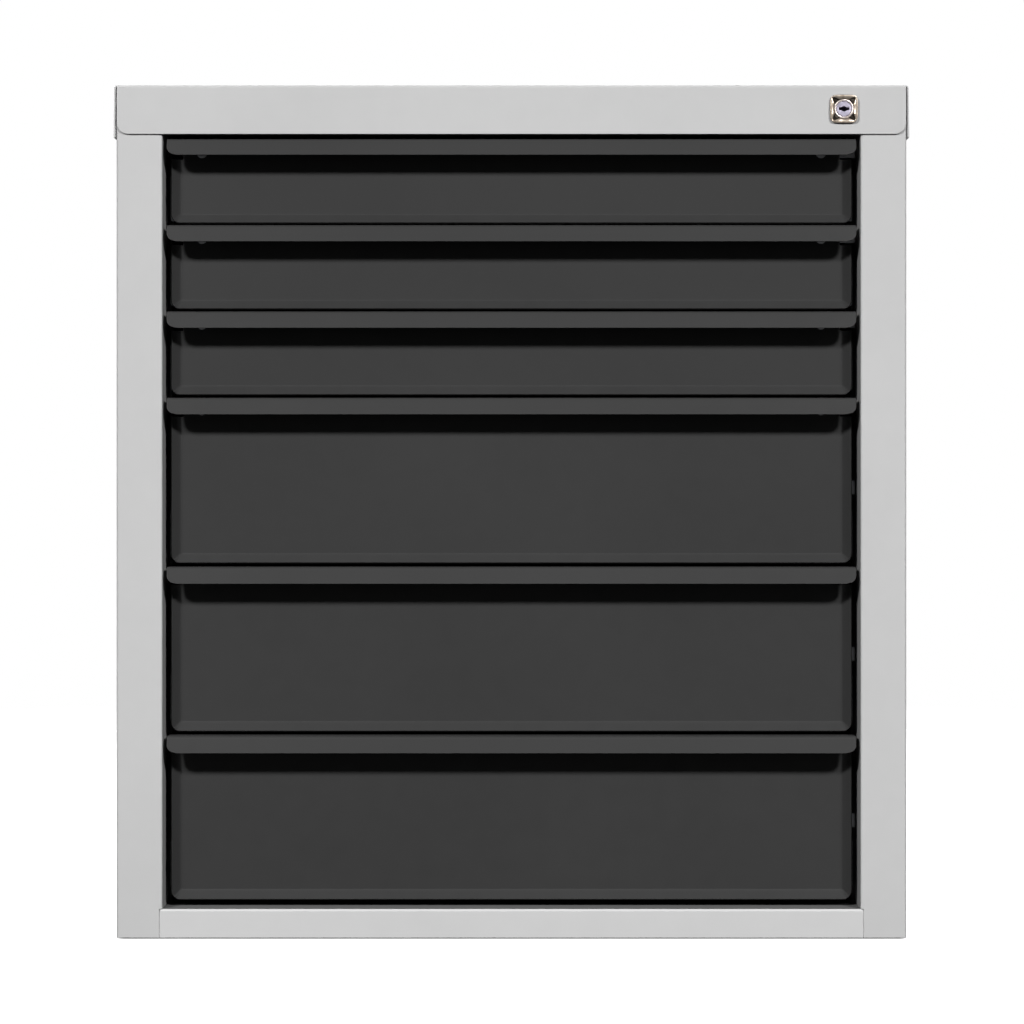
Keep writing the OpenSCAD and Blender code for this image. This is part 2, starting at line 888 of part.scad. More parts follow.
module lip(top_z) {
    fold = front_r + front_t;
    low_z = top_z - lip_h - lip_tip_drop;
    difference() {
        union() {
            along_x(-half_flat, half_flat)
                lip_profile(top_z);
            both_sides()
                along_x(half_flat, half_lip)
                    intersection() {
                        lip_profile(top_z);
                        translate([y_at(0), top_z - 2 * lip_h])
                            square([panel_set_back - fold, 3 * lip_h]);
                    }
        }
        both_sides()
            translate([half_lip - lip_corner_r, 0, low_z + lip_corner_r])
                mirror([0, 0, 1])
                    along_y(y_at(-cut), y_at(lip_fold_y + fold))
                        corner_waste(lip_corner_r);
    }
}

// The path through a slanted pan edge: distance out from the flat panel, then the plane's y
edge_end = pan_edge - front_t * sqrt(2) / 4;
edge_path = [
    [-seam - front_r, panel_mid_y],
    [0, panel_mid_y],
    [edge_end, panel_mid_y - edge_end]
];

// The slanted edges meet in a mitre at each lower corner
module pan(low_z, top_z) {
    fold_z = low_z + pan_edge;
    reach = 2 * pan_edge;
    low_y = panel_y - pan_edge - cut;
    high_y = panel_back_y + cut;
    plate(
        [-half_flat + seam, half_flat - seam],
        [panel_y, panel_back_y],
        [fold_z + seam, top_z]
    );
    intersection() {
        along_x(-half_pan, half_pan)
            slanted_strip([for (p = edge_path) [p[1], fold_z - p[0]]], front_t, front_r);
        along_y(low_y, high_y)
            polygon([
                [-half_flat - reach, fold_z - reach], [half_flat + reach, fold_z - reach],
                [half_flat - reach, fold_z + reach], [-half_flat + reach, fold_z + reach]
            ]);
    }
    both_sides()
        intersection() {
            translate([0, 0, low_z])
                linear_extrude(top_z - low_z)
                    slanted_strip([for (p = edge_path) [half_flat + p[0], p[1]]], front_t, front_r);
            along_y(low_y, high_y)
                polygon([
                    [half_flat + reach, fold_z - reach], [half_flat + reach, top_z],
                    [half_flat - reach, top_z], [half_flat - reach, fold_z + reach]
                ]);
        }
}

module front_rivet_places(top_z) {
    for (x = [-front_rivet_x, front_rivet_x])
        translate([x, 0, top_z - front_rivet_drop])
            children();
}

module drawer_front(i) {
    low_z = front_z(i);
    top_z = low_z + front_heights[i];
    color(anthracite)
        difference() {
            union() {
                lip(top_z);
                pan(low_z, top_z - front_t - front_fold_r - seam);
            }
            both_sides()
                translate([half_pan - pan_corner_r, 0, low_z + pan_corner_r])
                    mirror([0, 0, 1])
                        along_y(panel_y - 2 * pan_edge, panel_back_y + cut)
                            corner_waste(pan_corner_r);
            front_rivet_places(top_z)
                rod_y(panel_y - cut, panel_back_y + cut, shank_r + hole_gap);
        }
}

box_y = [panel_back_y, panel_back_y + box_l];
rail_rivet_y = [y_at(slide_y + rivet_inset), y_at(slide_y + slide_l - rivet_inset)];

catch_foot = 6;

// A small angle welded to the box's right side: its foot runs back along the box
module drawer_catch(top_z) {
    inner_x = half_box + weld_gap;
    z = [top_z - catch_h, top_z];
    plate([inner_x, half_box + catch_w], [y_at(catch_y), y_at(catch_y) + box_t], z);
    plate([inner_x, inner_x + box_t], [y_at(catch_y), y_at(catch_y) + catch_foot], z);
}

// A folded tray with inward rims, and the catch on its side
module drawer_box(i) {
    low_z = front_z(i) + box_floor_z;
    top_z = front_z(i) + front_heights[i] - box_rim_drop;
    mid = box_t / 2;
    side_x = half_box - mid;
    rim_x = half_box - box_rim_w;
    wall_x = [-half_box + box_t, half_box - box_t];
    color(anthracite) {
        drawer_catch(front_z(i) + catch_top_z);
        difference() {
            union() {
                along_y(box_y[0], box_y[1])
                    folded_strip([
                        [-rim_x, top_z - mid], [-side_x, top_z - mid],
                        [-side_x, low_z + mid], [side_x, low_z + mid],
                        [side_x, top_z - mid], [rim_x, top_z - mid]
                    ], box_t, box_r);
                plate(wall_x, [box_y[0], box_y[0] + box_t], [low_z + box_t, top_z]);
                plate(wall_x, [box_y[1] - box_t, box_y[1]], [low_z + box_t, top_z]);
                plate([-rim_x, rim_x], [box_y[0], box_y[0] + box_rim_w], [top_z - box_t, top_z]);
                plate([-rim_x, rim_x], [box_y[1] - box_rim_w, box_y[1]], [top_z - box_t, top_z]);
            }
            front_rivet_places(front_z(i) + front_heights[i])
                rod_y(box_y[0] - cut, box_y[0] + box_t + cut, shank_r + hole_gap);
            rail_rivet_holes(i);
        }
    }
}

module rail_rivet_places(i) {
    both_sides()
        for (ry = rail_rivet_y)
            translate([half_box, ry, front_z(i) + slide_z])
                children();
}

module rail_rivet_holes(i) {
    rail_rivet_places(i)
        rod_x(-box_t - cut, slide_sheet + cut, shank_r + hole_gap);
}

module drawer_rivets(i) {
    color(bare_zinc) {
        rail_rivet_places(i) {
            rod_x(slide_sheet, slide_sheet + head_h, head_r);
            rod_x(-box_t - sliver, slide_sheet + sliver, shank_r);
            rod_x(-box_t - head_h, -box_t, tail_head_r);
        }
        front_rivet_places(front_z(i) + front_heights[i]) {
            rod_y(panel_y - head_h, panel_y, head_r);
            rod_y(panel_y - sliver, box_y[0] + box_t + sliver, shank_r);
            rod_y(box_y[0] + box_t, box_y[0] + box_t + head_h, tail_head_r);
        }
    }
}

// ---- Slides: three folded rails, each held by the lips of the one around it ----
rail_mid = slide_sheet / 2;
rail_fold_r = 0.3;
rail_r = rail_mid + rail_fold_r;
rail_box_gap = 0.5;
cabinet_flange_z = slide_h / 2 - rail_mid;
cabinet_lip_z = cabinet_flange_z - rail_mid - slide_lip;
cabinet_lip_x = half_box + rail_box_gap + rail_mid;
middle_flange_z = cabinet_flange_z - slide_sheet - slide_gap;
middle_lip_z = middle_flange_z - rail_mid - slide_lip;
middle_lip_x = cabinet_lip_x + slide_sheet + slide_gap;
middle_web_x = half_opening - slide_sheet - head_h - 2 * slide_gap - rail_mid;
inner_flange_z = middle_lip_z - slide_gap - rail_mid;
inner_lip_z = middle_flange_z - rail_mid - slide_gap;
inner_lip_x = middle_lip_x + slide_sheet + slide_gap;

module channel(web_x, flange_z, lip_x, lip_z) {
    folded_strip([
        [lip_x, lip_z], [lip_x, flange_z], [web_x, flange_z],
        [web_x, -flange_z], [lip_x, -flange_z], [lip_x, -lip_z]
    ], slide_sheet, rail_r);
}

module slide_rail(i) {
    both_sides()
        translate([0, 0, front_z(i) + slide_z])
            along_y(y_at(slide_y), y_at(slide_y + slide_l))
                children();
}

module cabinet_rails(i) {
    color(bare_zinc)
        difference() {
            slide_rail(i)
                channel(half_opening - rail_mid, cabinet_flange_z, cabinet_lip_x, cabinet_lip_z);
            both_sides()
                for (depth = [front_upright_y, rear_upright_y])
                    translate([half_opening, y_at(depth + upright_w / 2), front_z(i) + slide_z])
                        rod_x(-slide_sheet - cut, cut, shank_r + hole_gap);
        }
}

module middle_rails(i) {
    color(bare_zinc)
        slide_rail(i)
            channel(middle_web_x, middle_flange_z, middle_lip_x, middle_lip_z);
}

module inner_rails(i) {
    color(bare_zinc)
        difference() {
            slide_rail(i)
                channel(half_box + rail_mid, inner_flange_z, inner_lip_x, inner_lip_z);
            rail_rivet_holes(i);
        }
}

// ---- The model ----

top_cover();
left_side_panel();
right_side_panel();
back_panel();
bottom_panel();
base_rail();
top_rail();
left_front_upright();
right_front_upright();
left_rear_upright();
right_rear_upright();
rail_screws();
back_rivets();
cover_nuts();
lock_bezel();
lock_housing();
lock_nut();
lock_plug();
lock_crank();
crank_screw();
locking_bar();
bar_guide_studs();
for (i = drawer_ids) {
    name = str("drawer_", i + 1);
    drawer_front(i);
    drawer_box(i);
    inner_rails(i);
    drawer_rivets(i);
    middle_rails(i);
    cabinet_rails(i);
}
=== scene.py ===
import math

import bmesh
import bpy
import numpy as np
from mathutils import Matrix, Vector


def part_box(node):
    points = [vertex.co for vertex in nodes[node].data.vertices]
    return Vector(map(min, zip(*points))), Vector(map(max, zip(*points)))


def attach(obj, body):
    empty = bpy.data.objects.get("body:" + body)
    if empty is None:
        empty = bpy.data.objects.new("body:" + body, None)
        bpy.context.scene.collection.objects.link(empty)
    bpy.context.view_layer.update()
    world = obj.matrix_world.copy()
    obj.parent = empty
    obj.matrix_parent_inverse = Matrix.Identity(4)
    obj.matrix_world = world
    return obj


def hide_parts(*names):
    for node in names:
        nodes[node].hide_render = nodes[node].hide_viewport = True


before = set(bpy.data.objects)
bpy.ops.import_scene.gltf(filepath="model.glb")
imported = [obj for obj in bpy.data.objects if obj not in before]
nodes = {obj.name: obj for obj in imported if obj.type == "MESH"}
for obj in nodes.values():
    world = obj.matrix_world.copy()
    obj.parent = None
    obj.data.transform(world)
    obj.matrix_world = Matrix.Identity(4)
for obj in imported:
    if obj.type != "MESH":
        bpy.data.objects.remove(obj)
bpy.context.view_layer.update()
MM = 0.001


# ---------------------------------------------------------------- side panels with their front posts
# Each side wall is one sheet of 1.2 mm steel. Its front is folded round three times into the post that
# frames the drawers, and its rear into a flange that the back panel is riveted to. Fine-textured light grey
# powder coat.

def linear(hex_colour):
    """The linear red, green, blue and alpha of an sRGB hex colour."""
    srgb = np.array([int(hex_colour[i:i + 2], 16) for i in (1, 3, 5)]) / 255
    rgb = np.where(srgb <= 0.04045, srgb / 12.92, ((srgb + 0.055) / 1.055) ** 2.4)
    return (*rgb.tolist(), 1.0)


def add(tree, kind, sockets=(), **settings):
    """Adds one shader node with its settings; each socket takes another node's output or a constant."""
    node = tree.nodes.new(kind)
    for name, value in settings.items():
        setattr(node, name, value)
    for name, value in dict(sockets).items():
        if isinstance(value, bpy.types.NodeSocket):
            tree.links.new(value, node.inputs[name])
        else:
            node.inputs[name].default_value = value
    return node


def new_material(name):
    """An empty node material: its tree, its Object coordinates and its output node."""
    material = bpy.data.materials.new(name)
    material.use_nodes = True
    tree = material.node_tree
    tree.nodes.clear()
    place = add(tree, "ShaderNodeTexCoord").outputs["Object"]
    return material, tree, place, add(tree, "ShaderNodeOutputMaterial")


def inside_opening(tree, place):
    """A mask on Object coordinates for the painted shade in the drawers' opening: 1 inside the opening that
    the drawers fill, 0 outside, with short ramps at its front, its rear, its sides and its head. Each ramp
    runs from 0 to what the ramps before it give."""
    place_xyz = add(tree, "ShaderNodeSeparateXYZ", {0: place})
    sideways = add(tree, "ShaderNodeMath", {0: place_xyz.outputs["X"]}, operation="ABSOLUTE")
    ramps = (
        (place_xyz.outputs["Y"], front_y + 0.8 * MM, front_y + 1.6 * MM),
        (place_xyz.outputs["Y"], front_y + 120 * MM, front_y + 60 * MM),
        (sideways.outputs[0], opening_x + 4 * MM, opening_x + 3 * MM),
        (place_xyz.outputs["Z"], panel_high.z - 2 * MM, panel_high.z - 4 * MM),
    )
    mask = 1.0
    for value, start, full in ramps:
        mask = add(tree, "ShaderNodeMapRange", {
            "Value": value, "From Min": start, "From Max": full, "To Min": 0.0, "To Max": mask}).outputs[0]
    return mask


def powder_coat(name, light_hex, dark_hex, roughness, shine, ior=1.5, opening_shade=1.0):
    """Powder coat, sprayed and baked: an even colour with the low, rounded pebbling of the molten powder.
    Inside the drawers' opening the colour is darkened by the factor given: painted shade on what lies there."""
    material, tree, place, output = new_material(name)
    pebble_size, flow_size, drift_size = 1.6 * MM, 14 * MM, 180 * MM
    pebble_height, flow_height = 0.02 * MM, 0.03 * MM
    pebble = add(tree, "ShaderNodeTexNoise", {"Vector": place, "Scale": 1 / pebble_size, "Detail": 2.0})
    flow = add(tree, "ShaderNodeTexNoise", {"Vector": place, "Scale": 1 / flow_size, "Detail": 3.0})
    drift = add(tree, "ShaderNodeTexNoise", {"Vector": place, "Scale": 1 / drift_size, "Detail": 2.0})
    shade = add(tree, "ShaderNodeMath", {0: flow.outputs["Fac"], 1: 0.35, 2: drift.outputs["Fac"]},
                operation="MULTIPLY_ADD")
    colour = add(tree, "ShaderNodeValToRGB", {"Fac": shade.outputs[0]})
    colour.color_ramp.elements[0].position = 0.35
    colour.color_ramp.elements[0].color = linear(dark_hex)
    colour.color_ramp.elements[1].position = 0.95
    colour.color_ramp.elements[1].color = linear(light_hex)
    gloss = add(tree, "ShaderNodeMapRange", {
        "Value": flow.outputs["Fac"], "From Min": 0.3, "From Max": 0.7,
        "To Min": roughness - 0.04, "To Max": roughness + 0.05})
    waves = add(tree, "ShaderNodeBump", {
        "Height": flow.outputs["Fac"], "Strength": 0.25, "Distance": flow_height})
    pebbles = add(tree, "ShaderNodeBump", {
        "Height": pebble.outputs["Fac"], "Normal": waves.outputs[0], "Strength": 0.35,
        "Distance": pebble_height})
    # Painted shade: inside the drawers' opening the colour is multiplied by the factor given
    shade_factor = add(tree, "ShaderNodeMapRange", {
        "Value": inside_opening(tree, place), "To Min": 1.0, "To Max": opening_shade})
    shaded_colour = add(tree, "ShaderNodeVectorMath", {0: colour.outputs["Color"], 1: shade_factor.outputs[0]},
                  operation="MULTIPLY")
    coat = add(tree, "ShaderNodeBsdfPrincipled", {
        "Base Color": shaded_colour.outputs[0], "Roughness": gloss.outputs[0],
        "Normal": pebbles.outputs[0], "IOR": ior, "Specular IOR Level": shine})
    tree.links.new(coat.outputs[0], output.inputs["Surface"])
    return material


def folded(corners, radius, steps=6, hold=0.5 * MM):
    """The middle line of a folded sheet. Each corner becomes an arc of the radius, tangent to the straight
    runs on both sides: it starts radius * tan(turn / 2) before the corner and turns its start point about
    its centre by equal shares of the turn. One holding point lies beside each end of an arc, so that
    shading stays flat there."""
    corners = np.asarray(corners, float)
    runs = np.diff(corners, axis=0)
    runs /= np.linalg.norm(runs, axis=1, keepdims=True)
    rows = [corners[:1]]
    for into, out, corner in zip(runs[:-1], runs[1:], corners[1:-1]):
        turn = math.atan2(into[0] * out[1] - into[1] * out[0], into @ out)
        back = radius * math.tan(abs(turn) / 2)
        left = np.array([-into[1], into[0]]) * math.copysign(radius, turn)
        start = corner - back * into
        angle = turn * np.linspace(0, 1, steps + 1)[:, None]
        spoke = -left * np.cos(angle) + into * radius * np.sin(np.abs(angle))
        arc = start + left + spoke
        rows += [arc[:1] - hold * into, arc, arc[-1:] + hold * out]
    return np.vstack(rows + [corners[-1:]])


def with_values(line, column, values):
    """A line of points with extra points where its column passes the given values, each cut linearly."""
    for value in values:
        a, b = line[:-1, column], line[1:, column]
        crossed = np.nonzero((a - value) * (b - value) < 0)[0]
        share = (value - a[crossed]) / (b - a)[crossed]
        new = line[crossed] + share[:, None] * (line[crossed + 1] - line[crossed])
        line = np.insert(line, crossed + 1, new, axis=0)
    return line


def mirrored(patches):
    """The patches, and their mirror images in the plane x = 0."""
    flip = np.array([-1, 1, 1])
    return patches + [(points[:, ::-1] * flip, keep[:, ::-1]) for points, keep in patches]


def whole(points):
    """A patch with every one of its quads."""
    return points, np.ones((points.shape[0] - 1, points.shape[1] - 1), bool)


def mesh_piece(name, patches, material, body, weld=0.004 * MM):
    """One mesh from patches, each a grid of points (rows, columns, xyz) and a mask of the quads to keep.
    Quads join neighbouring rows and columns, and points that coincide are welded."""
    points, faces, first = [], [], 0
    for grid, keep in patches:
        rows, columns = grid.shape[:2]
        index = first + np.arange(rows * columns).reshape(rows, columns)
        quads = np.stack([index[:-1, :-1], index[:-1, 1:], index[1:, 1:], index[1:, :-1]], axis=-1)
        faces.append(quads[keep])
        points.append(grid.reshape(-1, 3))
        first += rows * columns
    mesh = bpy.data.meshes.new(name)
    mesh.from_pydata(np.vstack(points).tolist(), [], np.vstack(faces).tolist())
    shape = bmesh.new()
    shape.from_mesh(mesh)
    bmesh.ops.remove_doubles(shape, verts=shape.verts, dist=weld)
    bmesh.ops.delete(shape, geom=[v for v in shape.verts if not v.link_faces], context="VERTS")
    bmesh.ops.recalc_face_normals(shape, faces=shape.faces)
    shape.to_mesh(mesh)
    shape.free()
    mesh.shade_smooth()
    mesh.materials.append(material)
    piece = bpy.data.objects.new(name, mesh)
    bpy.context.scene.collection.objects.link(piece)
    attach(piece, body)
    return piece


def round_edges(piece, width):
    """Breaks every edge sharper than 40 degrees with a small round, and keeps the large faces shaded flat."""
    bevel = piece.modifiers.new("edges", "BEVEL")
    bevel.width = width
    bevel.segments = 2
    bevel.limit_method = "ANGLE"
    bevel.angle_limit = math.radians(40)
    bevel.harden_normals = False
    piece.modifiers.new("flat faces", "WEIGHTED_NORMAL")


def sheet_piece(name, patches, thickness, material, body):
    """A piece of sheet: the patches are its middle surface, and its cut edges are rounded like coated
    edges, by a part of the thickness."""
    edge_share = 0.3
    piece = mesh_piece(name, patches, material, body)
    wall = piece.modifiers.new("sheet", "SOLIDIFY")
    wall.thickness = thickness
    wall.offset = 0
    wall.use_even_offset = True
    round_edges(piece, edge_share * thickness)
    return piece


casing_sheet = 1.2 * MM
casing_fold = 1.1 * MM
half_sheet = casing_sheet / 2
panel_low, panel_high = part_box("right_side_panel")
front_y = panel_low.y
opening_x = panel_low.x
wall_x = panel_high.x
reveal_depth = 35 * MM
post_return = 19 * MM
rear_flange = 20 * MM
end_flange = 15 * MM
end_flange_gap = 5 * MM
rail_low, rail_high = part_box("base_rail")
# Light grey and nearly matt: a fine grain that hides the sheet's small waves. The index of refraction is
# below the resin's own, which keeps the lamps' glare off the cover's top when it is seen at a flat angle.
# Inside the drawers' opening the colour is darkened, as painted shade on the reveals.
casing_coat = powder_coat(
    "casing powder coat", "#dadada", "#d3d3d3", roughness=0.55, shine=0.4, ior=1.22, opening_shade=0.44)

# The walls' middle line, from the rear flange round the post, then carried up the height
post_line = folded([
    (wall_x - rear_flange, panel_high.y - half_sheet),
    (wall_x - half_sheet, panel_high.y - half_sheet),
    (wall_x - half_sheet, front_y + half_sheet),
    (opening_x + half_sheet, front_y + half_sheet),
    (opening_x + half_sheet, front_y + reveal_depth - half_sheet),
    (opening_x + post_return, front_y + reveal_depth - half_sheet),
], casing_fold)
post_line = with_values(post_line, 0, [rail_high.x])

# Spot welds on the reveals pull the sheet in a little: fine rows and columns carry each small dimple
weld_heights = np.array([47, 213, 377, 542]) * MM
weld_depth, weld_radius, weld_pull = 22 * MM, 2.2 * MM, 0.22 * MM
weld_rows = 13
weld_steps = np.linspace(-2, 2, weld_rows) * weld_radius
post_line = with_values(post_line, 1, front_y + weld_depth + weld_steps)
post_heights = np.unique(np.concatenate([
    [panel_low.z, rail_high.z, panel_high.z], (weld_heights[:, None] + weld_steps).ravel()]))

grid_z, grid_x = np.meshgrid(post_heights, post_line[:, 0], indexing="ij")
grid_y = np.broadcast_to(post_line[:, 1], grid_x.shape)
on_reveal = grid_x < opening_x + casing_sheet
to_weld = np.abs(grid_z[..., None] - weld_heights).min(axis=-1)
pull = weld_pull * np.exp(-((grid_y - front_y - weld_depth) ** 2 + to_weld ** 2) / weld_radius ** 2 * 2)
post_grid = np.stack([grid_x + on_reveal * pull, grid_y, grid_z], axis=-1)
beside_rail = (grid_x[:-1, :-1] + grid_x[:-1, 1:]) / 2 < rail_high.x
below_rail_top = grid_z[1:, 1:] < rail_high.z + MM
beside_rail &= grid_y[:-1, :-1] < front_y + 2 * reveal_depth
post_patch = (post_grid, ~(beside_rail & below_rail_top))

# The inward flanges at the wall's head and foot
flange_x = np.array([wall_x - casing_sheet - end_flange, wall_x - half_sheet])
flange_y = np.array([front_y + reveal_depth + end_flange_gap, panel_high.y - rear_flange - end_flange_gap])
end_patches = [
    whole(np.stack(np.broadcast_arrays(flange_x[None, :], flange_y[:, None], z), axis=-1))
    for z in (panel_high.z - half_sheet, casing_sheet + half_sheet)
]
for side, turn in (("right", 1), ("left", -1)):
    patches = [(points * np.array([turn, 1, 1]), keep) for points, keep in [post_patch] + end_patches]
    wall = sheet_piece(f"{side}_wall_and_post", patches, casing_sheet, casing_coat, "casing")
    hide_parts(f"{side}_side_panel")


# ---------------------------------------------------------------- back, bottom, top rail and uprights
# Plain cut and folded sheets inside the casing: spot welded uprights that carry the slides, the rail behind
# the cover's edge, the bottom tray and the riveted back. They are coated together with the casing.

for node in ("back_panel", "bottom_panel", "top_rail", "left_front_upright", "right_front_upright",
             "left_rear_upright", "right_rear_upright"):
    nodes[node].data.materials.clear()
    nodes[node].data.materials.append(casing_coat)


# ---------------------------------------------------------------- base rail
# A folded rail below the drawers, let into the posts on both sides, with rounded upper corners and a visible
# joint. Its coat is a lighter copy of the casing's, as painted light, and close under the lowest drawer its
# top gets a deeper painted shade.

# A lighter copy of the casing's light grey, painted light on the rail, with painted shade on its top
rail_coat = powder_coat(
    "base rail powder coat", "#e3e3e3", "#dcdcdc", roughness=0.55, shine=0.4, ior=1.22, opening_shade=0.22)

rail_line = folded([
    (front_y + half_sheet, rail_low.z),
    (front_y + half_sheet, rail_high.z - half_sheet),
    (rail_high.y - half_sheet, rail_high.z - half_sheet),
    (rail_high.y - half_sheet, rail_low.z + casing_sheet),
], casing_fold)
corner_round = 2.2 * MM
corner_rows = np.array([0.6, 1.2]) * MM
rail_joint = 0.15 * MM
rail_line = with_values(rail_line, 1, rail_high.z - half_sheet - casing_fold - corner_rows)
drop = np.clip(corner_round - (rail_high.z - rail_line[:, 1]), 0, corner_round)
corner_cut = corner_round - np.sqrt(corner_round ** 2 - drop ** 2)
corner_cut[rail_line[:, 0] > front_y + 2 * casing_sheet] = corner_round
rail_columns = np.array([0, 0.98, 1.0])
rail_x = rail_columns[None, :] * (rail_high.x - rail_joint - corner_cut)[:, None]
rail_grid = np.stack(np.broadcast_arrays(rail_x, rail_line[:, :1], rail_line[:, 1:]), axis=-1)
rail = sheet_piece("folded_base_rail", mirrored([whole(rail_grid)]), casing_sheet, rail_coat, "casing")
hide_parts("base_rail")


# ---------------------------------------------------------------- cover
# A shallow tray of the same sheet, turned over: front and rear edges with rounded lower corners, and side
# edges that lie a little further out and hang a little lower. The corners are left open, with a small
# relief notch.

cover_low, cover_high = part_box("top_cover")
cover_top = cover_high.z - half_sheet
cover_seat = 0.3 * MM
cover_edge_height = 35.7 * MM
edge_low = panel_high.z + casing_sheet + cover_seat - cover_edge_height
side_low = cover_low.z
splay = 0.5 * MM
side_x = cover_high.x - splay - half_sheet
edge_corner = 8.5 * MM
lock_low, lock_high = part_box("lock_housing")
lock_x, lock_z = (lock_low.x + lock_high.x) / 2, (lock_low.z + lock_high.z) / 2
lock_hole = 7.3 * MM
corner_column = 0.97 * side_x
tiny = 1e-6

across = folded([(-side_x - splay, side_low), (-side_x, cover_top),
                 (side_x, cover_top), (side_x + splay, side_low)], casing_fold)
across = with_values(across, 0, [-corner_column, corner_column, lock_x - lock_hole, lock_x + lock_hole])
along = folded([(cover_low.y + half_sheet, edge_low), (cover_low.y + half_sheet, cover_top),
                (cover_high.y - half_sheet, cover_top), (cover_high.y - half_sheet, edge_low)], casing_fold)
# Rows up the edge's rounded corners, by equal angles
round_steps = edge_low + edge_corner * (1 - np.cos(np.linspace(0.15, 1, 7) * math.pi / 2))
along = with_values(along, 1, np.concatenate([round_steps, [lock_z - lock_hole, lock_z + lock_hole]]))

flat_x = side_x - casing_fold
flat_front, flat_rear = cover_low.y + half_sheet + casing_fold, cover_high.y - half_sheet - casing_fold
in_edge = (along[:, 0] < flat_front - tiny) | (along[:, 0] > flat_rear + tiny)
in_side = np.abs(across[:, 0]) > flat_x + tiny
above = np.clip(along[:, 1] - edge_low, 0, edge_corner)
corner_cut = edge_corner - np.sqrt(edge_corner ** 2 - (edge_corner - above) ** 2)
width = np.where(in_edge, (wall_x - corner_cut) / flat_x, 1.0)
past_corner = np.abs(across[:, 0]) > corner_column - MM
cover_x = across[None, :, 0] * np.where(past_corner, width[:, None], 1.0)
cover_z = np.minimum(along[:, None, 1], across[None, :, 1])
cover_grid = np.stack([cover_x, np.broadcast_to(along[:, :1], cover_z.shape), cover_z], axis=-1)
in_corner = (in_edge[:-1] | in_edge[1:])[:, None] & (in_side[:-1] | in_side[1:])[None, :]
middle_x = (across[:-1, 0] + across[1:, 0]) / 2
middle_z = (along[:-1, 1] + along[1:, 1]) / 2
in_hole = (np.abs(middle_x - lock_x) < lock_hole)[None, :] & (np.abs(middle_z - lock_z) < lock_hole)[:, None]
in_hole &= (along[:-1, 0] < 0)[:, None]
cover = sheet_piece("tray_cover", [(cover_grid, ~(in_corner | in_hole))], casing_sheet, casing_coat, "casing")
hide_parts("top_cover")


# ---------------------------------------------------------------- drawer fronts
# Each front is one sheet of 1 mm steel: a shallow pan with slanted edges, whose top folds forward and down
# into a full-width grip lip. The lip's ends stand past the pan, with rounded lower corners. Anthracite
# powder coat, as on the box behind each front.

# Anthracite, matt and even: it takes only a soft light from the lamps
drawer_coat = powder_coat("drawer powder coat", "#3d3d3d", "#383838", roughness=0.58, shine=0.2)

front_sheet = 1.0 * MM
front_fold = 2.0 * MM
pan_edge = 6.5 * MM
pan_corner = 6 * MM
panel_depth = 21.5 * MM
lip_height = 12.3 * MM
lip_fold_depth = 4.1 * MM
lip_edge_depth = 1 * MM
lip_corner_x, lip_corner_z = 7.5 * MM, 6 * MM
pan_side_gap = 4.5 * MM
lip_side_gap = 3 * MM
half_pan = opening_x - pan_side_gap
half_lip = opening_x - lip_side_gap
half_flat = half_pan - pan_edge
drawers = range(1, 7)

# Columns across the right half of a pan at its top; those in its flat middle run on up into the lip
pan_border = 14 * MM
pan_border_columns = 27
pan_trim = 0.35 * front_sheet
pan_outer = half_pan - pan_trim
pan_columns = np.concatenate([[0], np.linspace(half_pan - pan_border, pan_outer, pan_border_columns)])
flat_columns = pan_columns[pan_columns < half_flat - front_fold]


def pan_relief(x, z, fold_z):
    """How far the pan's surface stands forward of its flat middle. With d the distance past the nearest
    fold line (the larger of the two near a corner, softened over 0.8 mm), it is 0 before the fold's arc,
    follows the arc of the fold radius, and then rises at 45 degrees."""
    past_side, past_foot = np.abs(x) - half_flat, fold_z - z
    soft = 0.8 * MM
    slant = math.radians(45)
    past = (past_side + past_foot + np.sqrt((past_side - past_foot) ** 2 + soft ** 2)) / 2
    arc_start = -front_fold * math.tan(slant / 2)
    arc_end = arc_start + front_fold * math.sin(slant)
    on_arc = np.clip(past - arc_start, 0, front_fold * math.sin(slant))
    return np.where(past > arc_end, past, front_fold - np.sqrt(front_fold ** 2 - on_arc ** 2))


def pan_patch(low, high):
    """The right half of the pan as a grid over x and z. The outermost columns close in at the foot on a
    quarter circle, so the corner of the outline is round."""
    edge_z = low + pan_trim
    rise = np.concatenate([pan_corner * (1 - np.cos(np.linspace(0, 1, 9) * math.pi / 2)),
                           np.linspace(pan_corner, pan_border, 16)[1:]])
    z = np.concatenate([edge_z + rise, [high]])
    inset = pan_corner - np.sqrt(pan_corner ** 2 - (pan_corner - np.clip(z - edge_z, 0, pan_corner)) ** 2)
    inner_x = pan_columns[1]
    share = np.clip((pan_columns - inner_x) / (pan_outer - inner_x), 0, 1)
    x = pan_columns[None, :] - share[None, :] * inset[:, None]
    z = np.broadcast_to(z[:, None], x.shape)
    y = front_y + panel_depth - pan_relief(x, z, low + pan_edge)
    return whole(np.stack([x, y, z], axis=-1))


